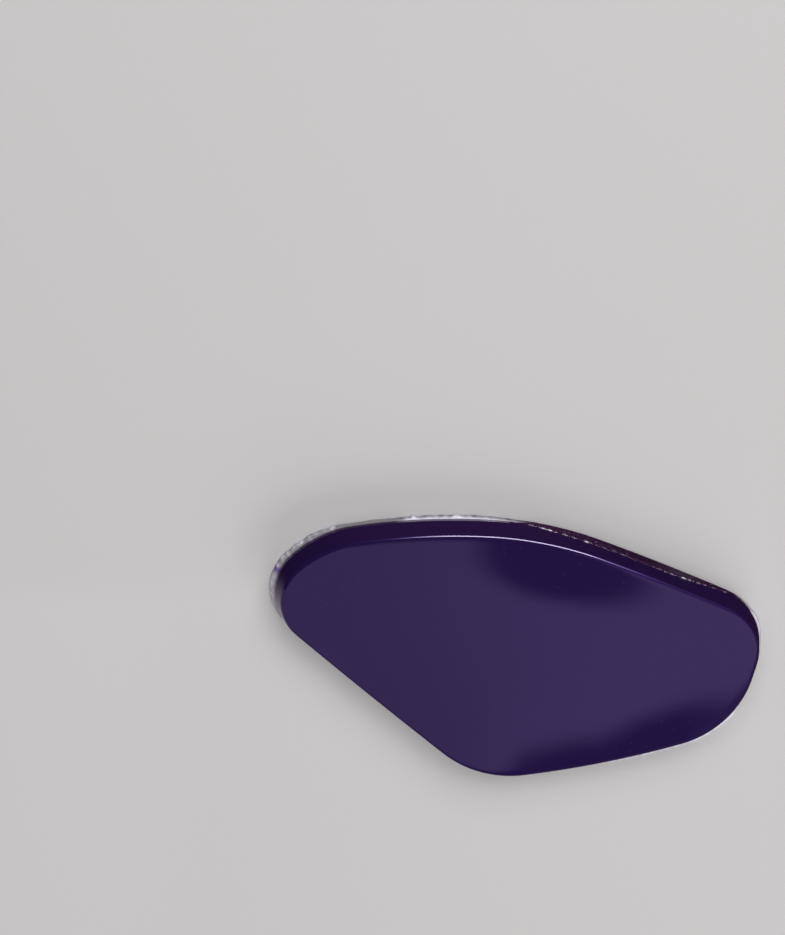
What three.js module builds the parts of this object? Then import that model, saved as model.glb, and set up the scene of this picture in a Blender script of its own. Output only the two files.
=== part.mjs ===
// A gel arch pad: a soft violet gel body, cast in a mould, on a thin clear layer of tacky gel that holds it
// to the sole of the foot. The clear layer runs a little past the body all round, as a narrow uneven lip.
//
// Millimetres, +Z up. The sticky underside is the plane Z = 0 and the origin is the middle of the pad's
// rectangle on it. +Y points to the toes and +X to the outer side of the foot.
import * as THREE from "three";

// The gel body, measured at the foot of its side wall.
const BODY_LENGTH = 79.5; // across the foot
const BODY_WIDTH = 44.5; // along the foot
const BODY_HEIGHT = 5.2; // from the clear layer to the rim of the face
const WALL_LEAN = 0.82; // how far the side wall leans in over that height
const EDGE_RADIUS = 0.7; // rounded edge between side wall and face
const FACE_CROWN = 0.7; // how far the middle of the face stands above its rim

// The clear layer under it.
const LAYER_THICKNESS = 1.1;
const LIP_WIDTH = 0.6; // usual reach of the lip past the body
const LIP_THICKNESS = 0.4; // height of the lip's upright edge, which a bead joins to the layer's top
const LIP_UNDERCUT = 0.1; // chamfer where that edge meets the ground
const LIP_RAGGEDNESS = 0.05; // how far the trimmed edge wanders in and out
const BOND_GAP = 0.05; // between the layer and the body

// Fineness of the facets.
const OUTLINE_STEPS = 180;
const EDGE_STEPS = 5;
const BEAD_STEPS = 3;

// The outline is a closed chain of arcs that touch: a rounded corner, a long bowed side, the next corner.
// Rows go counter-clockwise seen from the face. x and y place a corner's centre, radius is the corner's and
// side is that of the bowed side which runs on to the next row. All are shares of the pad's length, for a
// pad of the proportions below, and the outline is then stretched to the length and width above.
const CORNERS = [
  { name: "heel", x: -0.01, y: -0.05, radius: 0.23, side: 2 },
  { name: "outer_heel", x: 0.28, y: -0.01, radius: 0.215, side: 1 },
  { name: "outer_toe", x: 0.38, y: -0.005, radius: 0.12, side: 5 },
  { name: "toe", x: -0.13, y: -0.5, radius: 0.78, side: 1.3 },
  { name: "inner_toe", x: -0.33, y: 0.13, radius: 0.14, side: 0.25 },
  { name: "inner", x: -0.39, y: 0.13, radius: 0.11, side: 15 },
];

// Reach of the lip for each direction that the outline faces, in degrees counter-clockwise from the outer
// side of the foot, as a share of its usual reach. It is longest at the outer heel, where the layer was
// trimmed wide of the body, and nearly flush along the outer toe side.
const LIP_REACH = [
  { facing: 0, share: 0.3 },
  { facing: 25, share: 0.7 },
  { facing: 45, share: 0.3 },
  { facing: 60, share: 0.06 },
  { facing: 80, share: 0.06 },
  { facing: 88, share: 0.4 },
  { facing: 96, share: 0.25 },
  { facing: 108, share: 0.7 },
  { facing: 118, share: 1.2 },
  { facing: 165, share: 1.25 },
  { facing: 190, share: 1.0 },
  { facing: 210, share: 0.5 },
  { facing: 226, share: 0.15 },
  { facing: 262, share: 0.2 },
  { facing: 284, share: 2.5 },
  { facing: 300, share: 2.9 },
  { facing: 314, share: 3.1 },
  { facing: 335, share: 0.8 },
];

// Waves of the trimmed edge: how many go round the pad, and where the first starts as a share of a turn.
const LIP_WAVES = [
  { count: 13, start: 0.1 },
  { count: 23, start: 0.45 },
  { count: 37, start: 0.8 },
];

// Rings of the face from its rim to its middle, as shares of the way out.
const FACE_RINGS = [0.94, 0.84, 0.7, 0.54, 0.37, 0.19];

// Centre of the bowed side that touches this corner and the next one from outside them.
function sideCentre(corner, next) {
  const from = new THREE.Vector2(corner.x, corner.y);
  const to = new THREE.Vector2(next.x, next.y);
  const span = from.distanceTo(to);
  const along = to.clone().sub(from).divideScalar(span);
  const inward = new THREE.Vector2(-along.y, along.x);
  const toFirst = corner.side - corner.radius;
  const toSecond = corner.side - next.radius;
  const run = (toFirst ** 2 - toSecond ** 2 + span ** 2) / (2 * span);
  const rise = Math.sqrt(toFirst ** 2 - run ** 2);
  return from.addScaledVector(along, run).addScaledVector(inward, rise);
}

// Direction from the centre of a side to the centre of a corner, which is where the two arcs meet.
function meetingAngle(side, corner) {
  return Math.atan2(corner.y - side.y, corner.x - side.x);
}

// The chain of arcs as one curve, in shares of the pad's length.
function outlineCurve() {
  const sides = CORNERS.map((corner, i) => sideCentre(corner, CORNERS[(i + 1) % CORNERS.length]));
  const curve = new THREE.CurvePath();
  const addArc = (centre, radius, start, end) =>
    curve.add(new THREE.EllipseCurve(centre.x, centre.y, radius, radius, start, end, false, 0));
  CORNERS.forEach((corner, i) => {
    const before = sides.at(i - 1);
    const after = sides[i];
    const next = CORNERS[(i + 1) % CORNERS.length];
    addArc(corner, corner.radius, meetingAngle(before, corner), meetingAngle(after, corner));
    addArc(after, corner.side, meetingAngle(after, corner), meetingAngle(after, next));
  });
  return curve;
}

// The foot of the body's wall: points in order round the pad, each with its way out and its share of the
// way round.
function bodyOutline() {
  const curve = outlineCurve();
  const shares = Array.from({ length: OUTLINE_STEPS }, (_, i) => i / OUTLINE_STEPS);
  const drawn = new THREE.Box2().setFromPoints(shares.map((share) => curve.getPoint(share)));
  const size = drawn.getSize(new THREE.Vector2());
  const middle = drawn.getCenter(new THREE.Vector2());
  const stretch = new THREE.Vector2(BODY_LENGTH / size.x, BODY_WIDTH / size.y);
  return shares.map((share) => {
    const point = curve.getPoint(share).sub(middle).multiply(stretch);
    const tangent = curve.getTangent(share).multiply(stretch).normalize();
    return { point, outward: new THREE.Vector2(tangent.y, -tangent.x), share };
  });
}

// One ring of vertices: the outline moved outward by a distance, at one height.
function offsetRing(outline, distance, z) {
  return outline.map((step) => {
    const reach = typeof distance === "function" ? distance(step) : distance;
    const moved = step.point.clone().addScaledVector(step.outward, reach);
    return new THREE.Vector3(moved.x, moved.y, z);
  });
}

// A closed skin over rings that are stacked from the lowest to the highest, with a flat fan at each end.
function skinOf(rings, bottomPoint, topPoint) {
  const steps = rings[0].length;
  const vertices = [...rings.flat(), bottomPoint, topPoint];
  const bottomIndex = vertices.length - 2;
  const topIndex = vertices.length - 1;
  const faces = [];
  const at = (ring, step) => ring * steps + (step % steps);
  for (let step = 0; step < steps; step++) {
    faces.push(bottomIndex, at(0, step + 1), at(0, step));
    for (let ring = 0; ring < rings.length - 1; ring++) {
      const [a, b] = [at(ring, step), at(ring, step + 1)];
      const [c, d] = [at(ring + 1, step + 1), at(ring + 1, step)];
      faces.push(a, b, c, a, c, d);
    }
    faces.push(at(rings.length - 1, step), at(rings.length - 1, step + 1), topIndex);
  }
  const geometry = new THREE.BufferGeometry().setFromPoints(vertices);
  geometry.setIndex(faces);
  geometry.computeVertexNormals();
  return geometry;
}

// Rounded edge between the leaning wall and the face, as pairs of inset from the foot and height.
function edgeProfile() {
  const wallAngle = Math.atan2(BODY_HEIGHT, WALL_LEAN);
  const centreZ = BODY_HEIGHT - EDGE_RADIUS;
  const centreInset = (EDGE_RADIUS + centreZ * Math.cos(wallAngle)) / Math.sin(wallAngle);
  return Array.from({ length: EDGE_STEPS + 1 }, (_, i) => {
    const tilt = THREE.MathUtils.lerp(Math.PI / 2 - wallAngle, Math.PI / 2, i / EDGE_STEPS);
    return {
      inset: centreInset - EDGE_RADIUS * Math.cos(tilt),
      z: centreZ + EDGE_RADIUS * Math.sin(tilt),
    };
  });
}

// The violet gel body, standing on Z = 0 of its own frame.
function gelBody(outline) {
  const foot = offsetRing(outline, 0, 0);
  const edge = edgeProfile().map(({ inset, z }) => offsetRing(outline, -inset, z));
  const rim = edge.at(-1);
  const crown = FACE_RINGS.map((out) =>
    rim.map(({ x, y }) => new THREE.Vector3(x * out, y * out, faceHeight(out))),
  );
  const bottom = new THREE.Vector3(0, 0, 0);
  const top = new THREE.Vector3(0, 0, faceHeight(0));
  const gel = new THREE.MeshStandardMaterial({ color: 0x2c1a55, roughness: 0.12, metalness: 0 });
  const body = new THREE.Mesh(skinOf([foot, ...edge, ...crown], bottom, top), gel);
  body.name = "gel_body";
  return body;
}

// Height of the face at a share of the way out from its middle to its rim.
function faceHeight(out) {
  return BODY_HEIGHT + FACE_CROWN * (1 - out ** 2);
}

// Reach of the clear lip past the body at one step of the outline.
function lipReach({ outward, share }) {
  const facing = THREE.MathUtils.euclideanModulo(THREE.MathUtils.radToDeg(outward.angle()), 360);
  const after = LIP_REACH.findIndex((row) => row.facing > facing);
  const next = after < 0 ? { ...LIP_REACH[0], facing: 360 } : LIP_REACH[after];
  const last = after < 0 ? LIP_REACH.at(-1) : LIP_REACH[after - 1];
  const blend = THREE.MathUtils.smoothstep(facing, last.facing, next.facing);
  const usual = LIP_WIDTH * THREE.MathUtils.lerp(last.share, next.share, blend);
  const waves = LIP_WAVES.map(({ count, start }) => Math.sin(2 * Math.PI * (count * share + start)));
  return usual + (LIP_RAGGEDNESS * waves.reduce((sum, wave) => sum + wave, 0)) / LIP_WAVES.length;
}

// The clear tacky layer: flat below and under the body, with a rounded bead down to the edge of its lip.
function adhesiveLayer(outline) {
  const beadRise = LAYER_THICKNESS - LIP_THICKNESS;
  const bead = Array.from({ length: BEAD_STEPS + 1 }, (_, i) => {
    const turn = ((Math.PI / 2) * i) / BEAD_STEPS;
    const reach = (step) => lipReach(step) * Math.cos(turn);
    return offsetRing(outline, reach, LIP_THICKNESS + beadRise * Math.sin(turn));
  });
  const rings = [
    offsetRing(outline, (step) => lipReach(step) - LIP_UNDERCUT, 0),
    offsetRing(outline, lipReach, LIP_UNDERCUT),
    ...bead,
  ];
  const bottom = new THREE.Vector3(0, 0, 0);
  const top = new THREE.Vector3(0, 0, LAYER_THICKNESS);
  const clear = new THREE.MeshStandardMaterial({
    color: 0xd8d2dc,
    roughness: 0.15,
    metalness: 0,
    transparent: true,
    opacity: 0.45,
  });
  const layer = new THREE.Mesh(skinOf(rings, bottom, top), clear);
  layer.name = "adhesive_layer";
  return layer;
}

const outline = bodyOutline();
const layer = adhesiveLayer(outline);
const body = gelBody(outline);
body.position.z = LAYER_THICKNESS + BOND_GAP;

// The lip reaches further on some sides than on others, so the pair is moved to centre its rectangle.
const pair = new THREE.Group();
pair.add(layer, body);
layer.geometry.computeBoundingBox();
const middle = layer.geometry.boundingBox.getCenter(new THREE.Vector3());
pair.position.set(-middle.x, -middle.y, 0);

const pad = new THREE.Group();
pad.name = "gel_arch_pad";
pad.add(pair);

export default pad;
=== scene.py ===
"""Dresses the gel arch pad: a glossy violet gel body on a clear tacky layer with a ragged lip.

Metres, in the part's own frame: +Z out of the face, +X to the pad's broad end, +Y to the side with the film.
"""
import math

import bpy
import numpy as np
from mathutils import Matrix, Vector


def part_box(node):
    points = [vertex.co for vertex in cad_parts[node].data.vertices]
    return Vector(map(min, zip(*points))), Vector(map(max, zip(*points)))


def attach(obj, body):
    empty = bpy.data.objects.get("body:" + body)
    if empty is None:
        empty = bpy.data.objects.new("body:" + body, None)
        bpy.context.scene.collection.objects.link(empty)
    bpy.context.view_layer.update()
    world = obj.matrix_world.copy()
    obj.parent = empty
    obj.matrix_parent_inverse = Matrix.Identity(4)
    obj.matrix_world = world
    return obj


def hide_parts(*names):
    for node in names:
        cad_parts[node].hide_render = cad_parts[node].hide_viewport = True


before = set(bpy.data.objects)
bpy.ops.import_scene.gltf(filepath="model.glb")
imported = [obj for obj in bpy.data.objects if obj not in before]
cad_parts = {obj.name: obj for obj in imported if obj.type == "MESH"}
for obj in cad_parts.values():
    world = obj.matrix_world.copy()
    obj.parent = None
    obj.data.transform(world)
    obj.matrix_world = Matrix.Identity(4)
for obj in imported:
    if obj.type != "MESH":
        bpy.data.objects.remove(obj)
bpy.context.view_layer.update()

MM = 0.001

# The violet body's profile, from its lower edge up.
EDGE_RADIUS = 0.7 * MM
WALL_LEAN = 0.82 * MM
WALL_HEIGHT = 5.2 * MM
FACE_CROWN = 0.7 * MM

# The clear layer's lip: its straight side, the chamfer under it, and the reach and swelling of its edge.
LIP_HEIGHT = 0.4 * MM
LIP_CHAMFER = 0.1 * MM
LEAST_REACH = 0.02 * MM
SWELL_HEIGHT = 0.04 * MM
SWELL_REACH = 0.4 * MM

# How far the lip's edge wanders where it is fully ragged, in mm: in broad waves and in fine ones.
BROAD_WANDER = 0.06
FINE_WANDER = 0.025

# Height of the film of clear gel that has crept up the violet wall on the +Y side, along X, both in mm.
FILM_HEIGHT = [
    (0, 0), (2, 0.5), (4, 0.9), (7, 1.3), (10, 1.6), (13, 1.7), (16, 1.6), (19, 1.8), (25, 1.8),
    (28, 1.5), (31, 0.9), (34, 0.4), (35, 0),
]
FILM_STARTS = 0.02 * MM
FILM_LEAST_HEIGHT = 0.03 * MM
FILM_OVERLAP = 0.05 * MM
FILM_JAG = 0.07 * MM
FILM_THICKNESS = 0.12 * MM
FILM_LEAST_THICKNESS = 0.004 * MM
FILM_SOLIDITY = 0.80

# The share of the film's length over which it thins out at each end.
FILM_TAPER = 0.06

# The film's profile goes up its outer side and down against the wall. Each point is given by the share of the
# thickness, by how far below the film's top edge it is, in mm, and by how strongly specks show there. A point
# without a height lies on the film's lower edge.
FILM_PROFILE = [
    (1, None, 0), (1, 0.5, 0), (1, 0.32, 0.5), (1, 0.15, 1), (0.6, 0.03, 1), (0.02, 0, 0.6), (0.02, None, 0),
]

# Specks of light along the film's upper edge, where it swells and carries a painted highlight: the place
# along X and the half length, in mm, and the strength.
FILM_SPECKS = [
    (2, 0.3, 0.35), (4, 0.45, 0.75), (5, 0.35, 0.85), (6, 0.15, 0.3), (7.5, 0.3, 0.45),
    (11, 0.3, 1.0), (15.5, 0.5, 0.12), (17, 0.5, 0.12), (23, 0.25, 0.2), (24, 0.2, 0.15),
    (25, 0.3, 0.3), (27, 0.35, 0.85), (28, 0.2, 0.6), (29.5, 0.3, 0.3), (30.5, 0.2, 0.2),
    (32, 0.2, 0.2), (34, 0.25, 0.45),
]
SPECK_SWELL = 0.06 * MM
# Painted highlight on the specks.
SPECK_PAINTED_HIGHLIGHT = 0.85
SPECK_SOLIDITY = 0.2

# The clear gel all round, by the direction that its edge faces, in degrees: how much further out the lip
# reaches than the solid, in mm; how ragged it is; how bright and how solid it looks at its outer rim; and the
# same close to the violet gel. The brightness is painted light and shade: painted highlights and lit rims
# where it is high, and painted shade as dark as the violet gel where the clear gel lies flush with it.
CLEAR_LOOKS = [
    (0, 0.12, 0.2, 0.80, 0.85, 0.75, 0.80),
    (20, -0.06, 0.2, 0.90, 0.95, 0.85, 0.95),
    (34, -0.20, 0.3, 1.00, 1.00, 0.90, 0.95),
    (50, -0.10, 0.3, 0.40, 0.70, 0.10, 0.80),
    (57, -0.05, 0.2, 0, 1, 0, 1),
    (79, -0.05, 0.2, 0, 1, 0, 1),
    (81.5, 0, 0.4, 0.50, 0.70, 0.80, 0.90),
    (86, 0, 0.5, 0.65, 0.80, 1.00, 0.95),
    (92.8, 0, 0.5, 0.65, 0.80, 1.00, 0.95),
    (94, 0, 0.5, 0.50, 0.30, 0.45, 0.20),
    (110, -0.20, 1.6, 0.85, 0.60, 0.65, 0.28),
    (150, -0.15, 1.8, 0.95, 0.75, 0.75, 0.40),
    (165, -0.05, 0.5, 1.00, 0.85, 0.75, 0.55),
    (190, -0.05, 0.3, 1.00, 0.85, 0.80, 0.60),
    (212, 0, 0.3, 0.60, 0.50, 0.50, 0.40),
    (270, 0, 0.2, 0.60, 0.50, 0.50, 0.50),
    (276, 0.50, 0.2, 0.75, 0.85, 0.70, 0.85),
    (283, 0.62, 0.2, 0.80, 0.90, 0.75, 0.90),
    (292, 0.50, 0.2, 0.85, 0.95, 0.85, 0.95),
    (303, 0.22, 0.2, 0.90, 0.95, 0.90, 0.95),
    (312, 0.08, 0.2, 0.90, 0.95, 0.90, 0.95),
    (322, 0.00, 0.2, 0.80, 0.90, 0.80, 0.90),
    (340, 0.08, 0.2, 0.75, 0.85, 0.75, 0.85),
]
# Painted shade: the clear gel's colour where it lies flush with the violet gel, as dark as that.
PAINTED_SHADE_GEL = (0.040, 0.014, 0.050)
# Painted light: the clear gel's colour where it is painted brightly lit.
PAINTED_LIT_GEL = (0.86, 0.83, 0.92)
# How strongly painted glints come and go along the lip.
PAINTED_GLINT_STRENGTH = 0.45

# Where violet gel has run onto the clear gel: the direction that the edge faces there, and the spread, both
# in degrees.
SPILL_FACING = 155.5
SPILL_SPREAD = 3.0
SPILL_SOLIDITY = 0.8
SPILT_GEL = (0.20, 0.09, 0.42)

# Where the lip swells into a bead on the +Y side, with a painted highlight on it: the place along X, the half
# length and the extra reach, in mm.
LIP_BEADS = [
    (-17, 0.3, 0.30), (-10, 0.5, 0.16), (-30, 0.4, 0.07), (-33.5, 0.25, 0.05), (-37, 0.2, 0.06),
]
# The beads' painted highlight, then how much more solid they look.
BEAD_PAINTED_HIGHLIGHT = 3
BEAD_SOLIDITY = 2

# How much of the -Y side's extra reach is there, along X in mm, and from which direction the edge counts as
# that side's, in degrees.
EXTRA_REACH = [(4, 0), (12, 0.8), (20, 1)]
EXTRA_FROM = 240

# Fineness of the meshes.
BODY_STEPS = 720
LAYER_STEPS = 2160
OUTLINE_WAVES = 60
WALL_RINGS = 6
EDGE_RINGS = 13
FACE_RINGS = 28
LIP_RINGS = 11

# A solid's ring is made of the vertices this close to its height and this far from the pad's middle.
SAME_LEVEL = 0.005 * MM
MIDDLE_RADIUS = 5 * MM


# Reading the outlines from the frame

def node_ring(node, height):
    """The vertices of a CAD node at one height, in order round the pad, without the ones near its middle."""
    points = np.array([vertex.co[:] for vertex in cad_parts[node].data.vertices])
    level = points[np.abs(points[:, 2] - height) < SAME_LEVEL, :2]
    level = level[np.hypot(*level.T) > MIDDLE_RADIUS]
    level = np.unique(np.round(level, 7), axis=0)
    return level[np.argsort(np.arctan2(level[:, 1], level[:, 0]))]


def smooth_loop(points, steps):
    """The same closed curve through many more points, without the corners of its facets."""
    waves = np.fft.rfft(points, axis=0)[:OUTLINE_WAVES]
    finer = np.zeros((steps // 2 + 1, 2), complex)
    finer[: len(waves)] = waves
    return np.fft.irfft(finer, n=steps, axis=0) * steps / len(points)


def outward(loop):
    """Unit vectors that point out of a counter-clockwise loop."""
    along = np.roll(loop, -1, axis=0) - np.roll(loop, 1, axis=0)
    out = np.column_stack([along[:, 1], -along[:, 0]])
    return out / np.linalg.norm(out, axis=1)[:, None]


def facing_degrees(out):
    """The direction of each outward vector, in degrees from +X."""
    return np.degrees(np.arctan2(out[:, 1], out[:, 0])) % 360


def wandering(steps, seed, waves):
    """A wandering value round the pad, mostly within -1 to 1, that joins up with itself."""
    chance = np.random.default_rng(seed)
    turn = np.linspace(0, 2 * math.pi, steps, endpoint=False)
    value = np.zeros(steps)
    for count in waves:
        value += np.sin(count * turn + chance.uniform(0, 2 * math.pi)) * chance.uniform(0.4, 1)
    return value / math.sqrt(len(waves))


# Building meshes from rings

def at_height(loop, height):
    """Ring vertices of a plan loop at one height, or at one height for each step."""
    return np.column_stack([loop, np.broadcast_to(height, len(loop))])


def mesh_object(name, vertices, faces):
    """A smooth-shaded object in the scene, from its vertices and faces."""
    mesh = bpy.data.meshes.new(name)
    mesh.from_pydata(np.asarray(vertices).tolist(), [], faces)
    mesh.update()
    mesh.shade_smooth()
    piece = bpy.data.objects.new(name, mesh)
    bpy.context.scene.collection.objects.link(piece)
    return piece


def skin(name, rings, bottom, top):
    """A closed mesh over rings stacked from the lowest to the highest, with a fan at each end."""
    steps = len(rings[0])
    here = np.arange(steps)
    ahead = np.roll(here, -1)
    faces = []
    for level in range(len(rings) - 1):
        low, high = level * steps, (level + 1) * steps
        faces += np.column_stack([low + here, low + ahead, high + ahead, high + here]).tolist()
    last = (len(rings) - 1) * steps
    lowest, highest = len(rings) * steps, len(rings) * steps + 1
    faces += [(lowest, int(b), int(a)) for a, b in zip(here, ahead)]
    faces += [(highest, int(last + a), int(last + b)) for a, b in zip(here, ahead)]
    return mesh_object(name, np.vstack([*rings, [bottom], [top]]), faces)


def tint_vertices(piece, colours, solidity):
    """Stores a colour, which carries painted light and shade, and a solidity at each vertex, which the clear
    gel's material reads.
    """
    colour = piece.data.attributes.new("gel_tone_and_painted_light", "FLOAT_COLOR", "POINT")
    colour.data.foreach_set("color", np.column_stack([colours, np.ones(len(colours))]).ravel())
    solid = piece.data.attributes.new("gel_solidity", "FLOAT", "POINT")
    solid.data.foreach_set("value", solidity)


# The violet body

def gel_body():
    """The violet body: leaning wall, rounded edge and crowned face, all finer than the solid."""
    low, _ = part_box("gel_body")
    base = low.z
    foot = smooth_loop(node_ring("gel_body", base), BODY_STEPS)
    out = outward(foot)
    wall_tilt = math.atan2(WALL_LEAN, WALL_HEIGHT)
    centre_z = WALL_HEIGHT - EDGE_RADIUS
    centre_inset = (EDGE_RADIUS + centre_z * math.sin(wall_tilt)) / math.cos(wall_tilt)

    # The face slopes a little at its rim, so the rounded edge stops just short of level there.
    rim = foot - centre_inset * out
    slope = np.arctan(2 * FACE_CROWN / np.sum(rim * out, axis=1))

    rings = []
    top_inset = centre_inset - EDGE_RADIUS * math.cos(wall_tilt)
    top_z = centre_z + EDGE_RADIUS * math.sin(wall_tilt)
    for share in np.linspace(0, 1, WALL_RINGS + 1)[:-1]:
        rings.append(at_height(foot - share * top_inset * out, base + share * top_z))
    for share in np.linspace(0, 1, EDGE_RINGS):
        tilt = wall_tilt + share * (math.pi / 2 - slope - wall_tilt)
        inset = centre_inset - EDGE_RADIUS * np.cos(tilt)
        rings.append(at_height(foot - inset[:, None] * out, base + centre_z + EDGE_RADIUS * np.sin(tilt)))
    edge = rings[-1]
    for share in np.linspace(1, 0, FACE_RINGS + 2)[1:-1]:
        rings.append(at_height(edge[:, :2] * share, edge[:, 2] + FACE_CROWN * (1 - share**2)))
    top = (0, 0, float(edge[:, 2].mean()) + FACE_CROWN)
    return skin("violet_gel", rings, (0, 0, base), top)


# The clear layer

def humps(places, table):
    """A value for each place along X: the highest of the table's soft humps there."""
    value = np.zeros(len(places))
    for middle, half, strength in table:
        value = np.maximum(value, strength * np.exp(-(((places / MM - middle) / half) ** 2)))
    return value


def painted_light_gel_colours(brightness):
    """Clear gel's colour with painted light and shade, from painted shade as dark as the violet gel to
    painted bright light.
    """
    return np.array(PAINTED_SHADE_GEL) + brightness[:, None] * (np.array(PAINTED_LIT_GEL) - np.array(PAINTED_SHADE_GEL))


def clear_layer():
    """The clear tacky layer: a ragged lip with a rounded bead that climbs to the body's lower edge."""
    low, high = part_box("adhesive_layer")
    foot_low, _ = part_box("gel_body")
    plan = node_ring("gel_body", foot_low.z)
    foot = smooth_loop(plan, LAYER_STEPS)
    lip = node_ring("adhesive_layer", low.z + LIP_HEIGHT)
    start = np.argmin(np.hypot(*(lip - plan[0]).T))
    lip = smooth_loop(np.roll(lip, -start, axis=0), LAYER_STEPS)
    out = outward(foot)
    facing = facing_degrees(out)
    spots, *columns = np.array(CLEAR_LOOKS).T
    columns = [np.interp(facing, spots, column, period=360) for column in columns]
    longer, ragged, rim_painted_light, rim_solid, inner_painted_light, inner_solid = columns
    beads = humps(foot[:, 0], LIP_BEADS) * (foot[:, 1] > 0)
    longer *= np.where(facing > EXTRA_FROM, np.interp(foot[:, 0] / MM, *np.array(EXTRA_REACH).T), 1)

    broad = wandering(LAYER_STEPS, 3, range(31, 97, 6))
    fine = wandering(LAYER_STEPS, 5, range(110, 300, 13))
    reach = np.sum((lip - foot) * out, axis=1)
    reach += (longer + beads + ragged * (BROAD_WANDER * broad + FINE_WANDER * fine)) * MM
    reach = np.maximum(reach, LEAST_REACH)
    rise = high.z - low.z - LIP_HEIGHT

    # Along the lip painted glints come and go, most where it is most ragged; they change the solidity too.
    painted_glint_flecks = 1 + PAINTED_GLINT_STRENGTH * np.minimum(ragged, 1) * wandering(LAYER_STEPS, 21, range(30, 160, 7))
    spill = np.exp(-(((facing - SPILL_FACING) / SPILL_SPREAD) ** 2))

    # Each ring has its nearness to the lip's outer rim, where the gel takes the rim's look.
    rings = [at_height(foot * share, low.z) for share in (0.5, 0.9)]
    rings.append(at_height(foot + (reach - LIP_CHAMFER)[:, None] * out, low.z))
    rings.append(at_height(foot + reach[:, None] * out, low.z + LIP_CHAMFER))
    nearness = [0, 0, 1, 1]
    bump = SWELL_HEIGHT * ragged * wandering(LAYER_STEPS, 11, range(40, 160, 11))
    for turn in np.linspace(0, math.pi / 2, LIP_RINGS):
        swell = np.minimum(reach / SWELL_REACH, 1) * bump * math.sin(2 * turn)
        across = reach * math.cos(turn)
        height = low.z + LIP_HEIGHT + rise * math.sin(turn) + swell
        rings.append(at_height(foot + across[:, None] * out, height))
        nearness.append(math.cos(turn) ** 2)
    rings += [at_height(foot * share, high.z) for share in (0.97, 0.6)]
    nearness += [0, 0]
    piece = skin("clear_gel", rings, (0, 0, low.z), (0, 0, high.z))

    # The colours carry painted light and shade: painted highlights on lit rims, beads and glints, and painted
    # shade where the gel lies flush with the violet gel.
    colours, solids = [], []
    for near in nearness:
        bright = near * rim_painted_light * painted_glint_flecks + (1 - near) * inner_painted_light + BEAD_PAINTED_HIGHLIGHT * beads
        colour = painted_light_gel_colours(np.clip(bright, 0, 1))
        colours.append(colour + spill[:, None] * (np.array(SPILT_GEL) - colour))
        solid = near * rim_solid * painted_glint_flecks + (1 - near) * inner_solid + BEAD_SOLIDITY * beads
        solids.append(np.clip(np.maximum(solid, SPILL_SOLIDITY * spill), 0.05, 1))
    colours += [PAINTED_LIT_GEL, PAINTED_LIT_GEL]
    tint_vertices(piece, np.vstack(colours), np.append(np.concatenate(solids), [0.5, 0.5]))
    return piece


def clear_film():
    """A thin film of clear gel up the violet wall on the +Y side, with a broken upper edge. Its colour is
    painted shade as dark as the violet gel, with painted highlights at the specks.
    """
    foot_low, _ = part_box("gel_body")
    foot = smooth_loop(node_ring("gel_body", foot_low.z), LAYER_STEPS)
    out = outward(foot)
    spots, heights = np.array(FILM_HEIGHT).T * MM
    height = np.interp(foot[:, 0], spots, heights)
    there = (height > FILM_STARTS) & (foot[:, 1] > 0)
    foot, out, height = foot[there], out[there], height[there]
    count = len(foot)
    turn = np.linspace(0, 1, count)
    taper = np.minimum(1, np.minimum(turn, 1 - turn) / FILM_TAPER)
    jag = wandering(LAYER_STEPS, 31, range(60, 500, 23))[there]
    specks = humps(foot[:, 0], FILM_SPECKS)
    height = np.maximum(height + FILM_JAG * jag * taper, FILM_LEAST_HEIGHT)

    lean = WALL_LEAN / WALL_HEIGHT
    rings, colours, solids = [], [], []
    for thick, below, shine in FILM_PROFILE:
        if below is None:
            climb = np.full(count, -FILM_OVERLAP)
        else:
            climb = height**2 / (height + below * MM)
        off = (thick * FILM_THICKNESS + SPECK_SWELL * specks * shine * thick) * taper
        off = np.maximum(off, FILM_LEAST_THICKNESS)
        ring = foot + (off - lean * climb)[:, None] * out
        rings.append(np.column_stack([ring, foot_low.z + climb]))
        # The film's colour is painted shade as dark as the violet gel, with painted highlights at the specks.
        colours.append(painted_light_gel_colours(SPECK_PAINTED_HIGHLIGHT * specks * shine))
        solids.append(FILM_SOLIDITY + SPECK_SOLIDITY * specks * shine)
    faces = []
    loops = len(rings)
    for ring in range(loops):
        after = (ring + 1) % loops
        for step in range(count - 1):
            a, b = ring * count + step, after * count + step
            faces.append((a, a + 1, b + 1, b))
    faces.append([ring * count for ring in range(loops)])
    faces.append([ring * count + count - 1 for ring in reversed(range(loops))])
    piece = mesh_object("clear_film", np.vstack(rings), faces)
    tint_vertices(piece, np.vstack(colours), np.concatenate(solids))
    return piece


# Materials

DEEP_VIOLET = (0.0140, 0.0062, 0.0445, 1)
CLOUDY_VIOLET = (0.0152, 0.0068, 0.0475, 1)
DUST = (0.060, 0.045, 0.10, 1)
BUBBLE = (0.85, 0.83, 0.90, 1)

# Dust lies on the face alone: none below the first of these heights, and all of it above the second.
DUST_FROM, DUST_FULL = 6.1 * MM, 6.35 * MM


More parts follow.
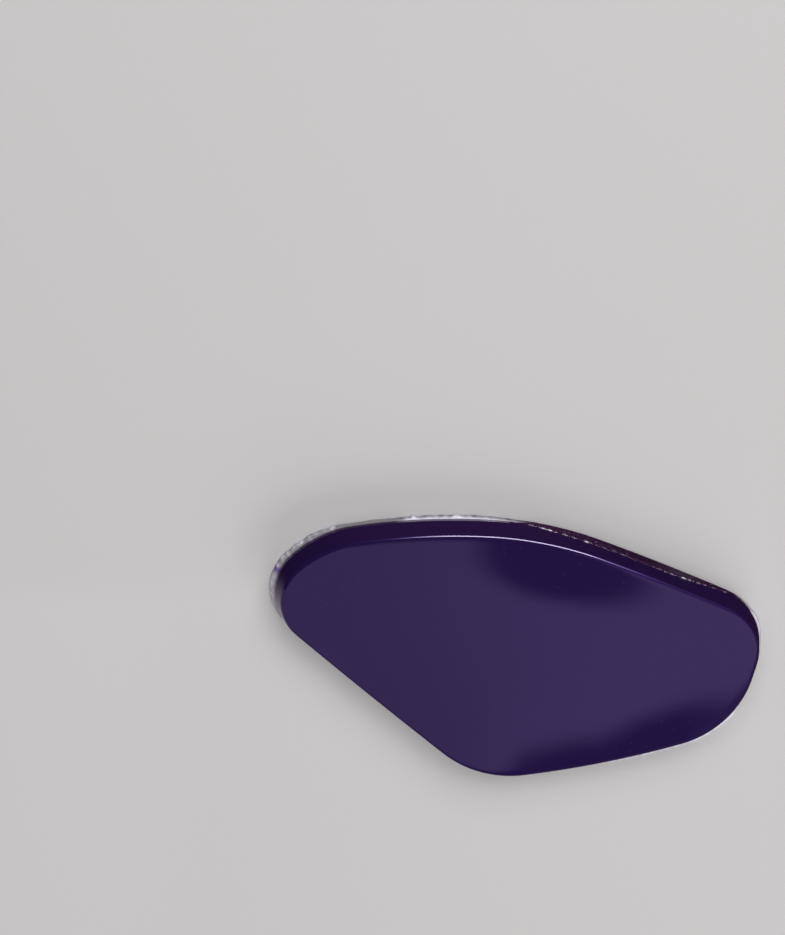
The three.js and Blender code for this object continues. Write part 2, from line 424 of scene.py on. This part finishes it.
class Flow:
    """A socket of a material's nodes, with sums and products written as Python's own."""

    def __init__(self, tree, socket):
        self.tree = tree
        self.socket = socket

    def add(self, kind, settings=None, inputs=None, output=0):
        """Adds any node: its settings first, then the values or links of its sockets. Gives one output."""
        made = self.tree.nodes.new(kind)
        for name, value in (settings or {}).items():
            setattr(made, name, value)
        for name, value in (inputs or {}).items():
            feed(made.inputs[name], value)
        return Flow(self.tree, made.outputs[output])

    def math(self, operation, *others):
        """Adds a Math node on this socket and the others."""
        values = {place: value for place, value in enumerate((self, *others))}
        return self.add("ShaderNodeMath", {"operation": operation}, values)

    def blend(self, low, high):
        """The colour between two others that this share picks."""
        return self.add("ShaderNodeMix", {"data_type": "RGBA"}, {0: self, 6: low, 7: high}, 2)

    def ramp(self, start, end):
        """0 below the start and 1 above the end, with a smooth passage between."""
        limits = {"Value": self, "From Min": start, "From Max": end}
        return self.add("ShaderNodeMapRange", {"interpolation_type": "SMOOTHSTEP"}, limits)

    def part(self, axis):
        """One component of a vector: 0, 1 or 2."""
        return self.add("ShaderNodeSeparateXYZ", None, {0: self}, axis)

    def __add__(self, other):
        return self.math("ADD", other)

    __radd__ = __add__

    def __mul__(self, other):
        return self.math("MULTIPLY", other)

    __rmul__ = __mul__

    def __sub__(self, other):
        return self.math("SUBTRACT", other)

    def __rsub__(self, other):
        return self * -1 + other

    def __truediv__(self, other):
        return self.math("DIVIDE", other)

    def __rtruediv__(self, other):
        return self.math("POWER", -1) * other


def feed(socket, value):
    """Links a flow to a socket, or sets a plain value on it."""
    if isinstance(value, Flow):
        socket.id_data.links.new(value.socket, socket)
    else:
        socket.default_value = value


def new_material(name, **finish):
    """A node material with a Principled shader set to plain values; gives it, the shader and the place."""
    material = bpy.data.materials.new(name)
    material.use_nodes = True
    tree = material.node_tree
    shader = tree.nodes["Principled BSDF"]
    for socket, value in finish.items():
        shader.inputs[socket.replace("_", " ")].default_value = value
    place = Flow(tree, tree.nodes.new("ShaderNodeTexCoord").outputs["Object"])
    return material, shader, place


def violet_gel_material():
    """Deep violet gel, glossy from the mould, with a faint cloudiness and a few specks of dust."""
    material, shader, place = new_material("violet_gel", IOR=1.45)
    cloud = place.add("ShaderNodeTexNoise", None, {"Vector": place, "Scale": 90.0, "Detail": 3.0}, "Fac")
    gel = cloud.blend(DEEP_VIOLET, CLOUDY_VIOLET)

    # Dust: a sparse scatter of points in loose groups, kept only in some of the cells, on the face alone.
    cells = {"Vector": place, "Scale": 420.0}
    flat = {"feature": "F1", "voronoi_dimensions": "2D"}
    near = place.add("ShaderNodeTexVoronoi", flat, cells, "Distance")
    pick = place.add("ShaderNodeTexVoronoi", flat, cells, "Color").part(0)
    group = place.add("ShaderNodeTexNoise", None, {"Vector": place, "Scale": 60.0, "Detail": 1.0}, "Fac")
    face = place.part(2).ramp(DUST_FROM, DUST_FULL)
    dust = (1 - near.ramp(0.01, 0.06)) * (pick * 0.6 + group).ramp(0.98, 1.12) * face
    feed(shader.inputs["Base Color"], (dust * 0.5).blend(gel, DUST))

    smear = place.add("ShaderNodeTexNoise", None, {"Vector": place, "Scale": 160.0, "Detail": 4.0}, "Fac")
    feed(shader.inputs["Roughness"], smear * 0.03 + dust * 0.2 + 0.035)
    return material


def clear_gel_material():
    """Clear tacky gel, a little cloudy, with tiny bubbles. Its colour, which carries painted light and shade,
    and its solidity vary round the pad.
    """
    material, shader, place = new_material("clear_gel", Roughness=0.08, IOR=1.42)
    colour = place.add("ShaderNodeAttribute", {"attribute_name": "gel_tone_and_painted_light"}, None, "Color")
    solid = place.add("ShaderNodeAttribute", {"attribute_name": "gel_solidity"}, None, "Fac")
    cells = {"Vector": place, "Scale": 2600.0}
    near = place.add("ShaderNodeTexVoronoi", {"feature": "F1"}, cells, "Distance")
    haze = place.add("ShaderNodeTexNoise", None, {"Vector": place, "Scale": 1500.0, "Detail": 3.0}, "Fac")
    bubble = (1 - near.ramp(0.12, 0.30)) * haze.ramp(0.45, 0.65)
    feed(shader.inputs["Base Color"], (bubble * 0.5).blend(colour, BUBBLE))
    feed(shader.inputs["Alpha"], (solid * (haze * 0.5 + 0.75) + bubble * 0.3).math("MINIMUM", 1))
    bump = place.add("ShaderNodeBump", None, {"Strength": 0.25, "Distance": 0.05 * MM, "Height": haze})
    feed(shader.inputs["Normal"], bump)
    return material


# Studio

# Where the camera stands: the direction to it from the pad's middle, and how far away it is.
CAMERA_LEAN = (-0.114, 0.4374, 1.0)
CAMERA_ROLL = 0.0217
CAMERA_DISTANCE = 1.0
PAD_MIDDLE = Vector((0, 0, 4 * MM))
PIXEL = 0.1624 * MM
PHOTO_WIDTH, PHOTO_HEIGHT = 785, 935
PAD_PIXEL = (517.8, 652.7)
SENSOR = 36.0

FLOOR_REACH = 3
FLOOR_GREY = (0.55, 0.54, 0.535, 1)
ROOM_VIOLET = (1, 0.5, 1.1, 1)

# The cards' patterns are laid out in mm, and their nodes give metres.
IN_MM = 1000


def add_camera():
    """The camera looks past the pad, so that the pad's middle falls on its own pixel of the photograph."""
    back = Vector(CAMERA_LEAN).normalized()
    right = Vector((0, 1, 0)).cross(back).normalized()
    up = back.cross(right)
    right, up = (
        math.cos(CAMERA_ROLL) * right + math.sin(CAMERA_ROLL) * up,
        math.cos(CAMERA_ROLL) * up - math.sin(CAMERA_ROLL) * right,
    )
    place = PAD_MIDDLE + CAMERA_DISTANCE * back
    aim = PAD_MIDDLE - right * (PAD_PIXEL[0] - PHOTO_WIDTH / 2) * PIXEL
    aim += up * (PAD_PIXEL[1] - PHOTO_HEIGHT / 2) * PIXEL
    back = (place - aim).normalized()
    right = up.cross(back).normalized()
    up = back.cross(right)
    camera = bpy.data.objects.new("camera", bpy.data.cameras.new("camera"))
    camera.data.lens = SENSOR * CAMERA_DISTANCE / (PHOTO_HEIGHT * PIXEL)
    camera.data.sensor_width = SENSOR
    camera.data.clip_end = 10
    camera.matrix_world = Matrix((
        (right.x, up.x, back.x, place.x),
        (right.y, up.y, back.y, place.y),
        (right.z, up.z, back.z, place.z),
        (0, 0, 0, 1),
    ))
    bpy.context.scene.collection.objects.link(camera)
    bpy.context.scene.camera = camera


def toward(azimuth, elevation):
    """The unit vector to a place in the studio, from angles in degrees."""
    turn, lift = math.radians(azimuth), math.radians(elevation)
    return Vector((math.cos(turn) * math.cos(lift), math.sin(turn) * math.cos(lift), math.sin(lift)))


def lamp(name, azimuth, elevation, distance, size, brightness):
    """A soft light that faces the pad and isn't mirrored in it. Brightness is what its surface would show."""
    light = bpy.data.lights.new(name, "AREA")
    light.shape = "RECTANGLE"
    light.size, light.size_y = size
    light.energy = brightness * math.pi * size[0] * size[1]
    box = bpy.data.objects.new(name, light)
    box.location = toward(azimuth, elevation) * distance
    box.rotation_mode = "QUATERNION"
    box.rotation_quaternion = toward(azimuth, elevation).to_track_quat("Z", "Y")
    box.visible_camera = False
    box.visible_glossy = False
    bpy.context.scene.collection.objects.link(box)


def glow_card(name, location, size, facing=None):
    """A card that only shows mirrored in the gel. Gives its emission node and its place, in metres."""
    half_x, half_y = size[0] / 2, size[1] / 2
    corners = [(-half_x, -half_y, 0), (half_x, -half_y, 0), (half_x, half_y, 0), (-half_x, half_y, 0)]
    card = mesh_object(name, corners, [(0, 1, 2, 3)])
    card.location = location
    if facing:
        card.rotation_mode = "QUATERNION"
        card.rotation_quaternion = facing.to_track_quat("Z", "Y")
    card.visible_camera = False
    card.visible_diffuse = False
    card.visible_shadow = False
    card.visible_transmission = False
    material = bpy.data.materials.new(name)
    material.use_nodes = True
    material.cycles.emission_sampling = "NONE"
    tree = material.node_tree
    tree.nodes.clear()
    glow = tree.nodes.new("ShaderNodeEmission")
    surface = tree.nodes.new("ShaderNodeOutputMaterial")
    tree.links.new(glow.outputs[0], surface.inputs["Surface"])
    card.data.materials.append(material)
    return glow, Flow(tree, tree.nodes.new("ShaderNodeTexCoord").outputs["Object"])


def add_veil_card():
    """The even violet-grey sheen over the face, with the two soft dark shapes that the face mirrors."""
    middle_x, middle_y = 1200, 1365
    glow, place = glow_card("veil_card", (-middle_x / IN_MM, -middle_y / IN_MM, 0.35), (3.6, 3.27))
    x, y = place.part(0) * IN_MM - middle_x, place.part(1) * IN_MM - middle_y
    ends = (1 - (y - x.ramp(70, 130) * 240).ramp(-70, -48)) * (1 - x.ramp(400, 520))

    # One shape hangs from the card's +Y edge. The other has a step in it and runs on to its -Y edge.
    across, along = (x - 58) / 28, (y + 80).math("MINIMUM", 0) / 28
    hanging_shape = (across * across + along * along).math("SQRT").ramp(0.74, 1.22)
    low_step = (x - (y + 225) * 0.6).ramp(30, 60) * (1 - y.ramp(-230, -203))
    high_step = (x - (y + 190) * 0.7).ramp(77, 98) * (1 - y.ramp(-194, -168))
    stepped_shape = 1 - low_step.math("MAXIMUM", high_step) * (1 - x.ramp(92, 114) * 0.16)

    # The sheen grows brighter and more violet towards +X, and the card is deep violet along its +Y edge.
    grey_sheen, bright_sheen, edge_violet = (0.55, 0.41, 0.83, 1), (0.84, 0.61, 1.52, 1), (0.38, 0.16, 1.0, 1)
    sheen = x.ramp(-25, 82).blend(grey_sheen, bright_sheen)
    feed(glow.inputs["Color"], y.ramp(-62, -10).blend(sheen, edge_violet))
    feed(glow.inputs["Strength"], ends * hanging_shape * stepped_shape)


def add_key_card():
    """The bright strip mirrored as a thin line along the +Y side's rounded edge, and a dim glow by it."""
    distance, core_strength, under_strength = 0.6, 26, 1.3
    way = toward(71, 32)
    glow, place = glow_card("key_card", way * distance, (1.0, 0.9), way)
    across, y = place.part(0) * IN_MM, place.part(1) * IN_MM
    x = (across + 14).math("ABSOLUTE")
    core = (1 - x.ramp(125, 225)) * (1 - y.math("ABSOLUTE").ramp(75, 165))
    raised = 1 - across.ramp(-180, -80)
    under = (1 - x.ramp(200, 420)) * y.ramp(-380, -120) * (1 - (y - raised * 220).ramp(-60, 20))
    under_violet, core_white = (0.40, 0.20, 0.90, 1), (0.85, 0.78, 1.0, 1)
    feed(glow.inputs["Color"], core.blend(under_violet, core_white))
    feed(glow.inputs["Strength"], core * core_strength + under * under_strength)


def add_bounce_card():
    """The light round the pad as its walls and low rims mirror it.

    It is bright past the -Y side and the narrow end. Elsewhere it is dim, least so near the pad's middle.
    """
    just_off_floor = 0.1 * MM
    glow, place = glow_card("bounce_card", (0, 0, just_off_floor), (6.0, 6.0))
    x, y = place.part(0) * IN_MM, place.part(1) * IN_MM
    narrow_end = (1 - x.ramp(24, 32)) * (1 - y.ramp(8, 15))
    near_side = 1 - y.ramp(-16, -12)
    bright = narrow_end.math("MAXIMUM", near_side)
    middle = x.ramp(-40, -18) * (1 - x.ramp(0, 22))
    dim = middle.blend((0.030, 0.006, 0.030, 1), (0.095, 0.030, 0.110, 1))
    floor_light = (0.38, 0.33, 0.42, 1)
    feed(glow.inputs["Color"], bright.blend(dim, floor_light))
    feed(glow.inputs["Strength"], narrow_end * (1 - x.ramp(-75, -44)) * 1.5 + 1)


def add_floor():
    """A plain pale floor, which the gel doesn't mirror."""
    reach = FLOOR_REACH
    corners = [(-reach, -reach, 0), (reach, -reach, 0), (reach, reach, 0), (-reach, reach, 0)]
    floor = mesh_object("floor", corners, [(0, 1, 2, 3)])
    floor.data.materials.append(new_material("floor", Base_Color=FLOOR_GREY, Roughness=0.8)[0])
    floor.visible_glossy = False


def add_world(brightness):
    """The dim violet room, for what no card or lamp lights."""
    world = bpy.data.worlds.new("studio")
    world.use_nodes = True
    background = world.node_tree.nodes["Background"]
    background.inputs["Color"].default_value = ROOM_VIOLET
    background.inputs["Strength"].default_value = brightness
    bpy.context.scene.world = world


add_camera()

body = gel_body()
body.data.materials.append(violet_gel_material())
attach(body, "root")
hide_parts("gel_body")

clear_gel = clear_gel_material()
layer = clear_layer()
film = clear_film()
for piece in (layer, film):
    piece.data.materials.append(clear_gel)
    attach(piece, "root")
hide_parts("adhesive_layer")

add_floor()
add_world(brightness=0.01)
lamp("overhead", azimuth=90, elevation=80, distance=1.1, size=(1.5, 1.5), brightness=1.4)
lamp("side", azimuth=76, elevation=45, distance=0.8, size=(0.7, 0.5), brightness=3.0)
lamp("fill", azimuth=-60, elevation=28, distance=0.8, size=(0.8, 0.5), brightness=3.2)
add_veil_card()
add_key_card()
add_bounce_card()

bpy.context.scene.view_settings.view_transform = "Standard"
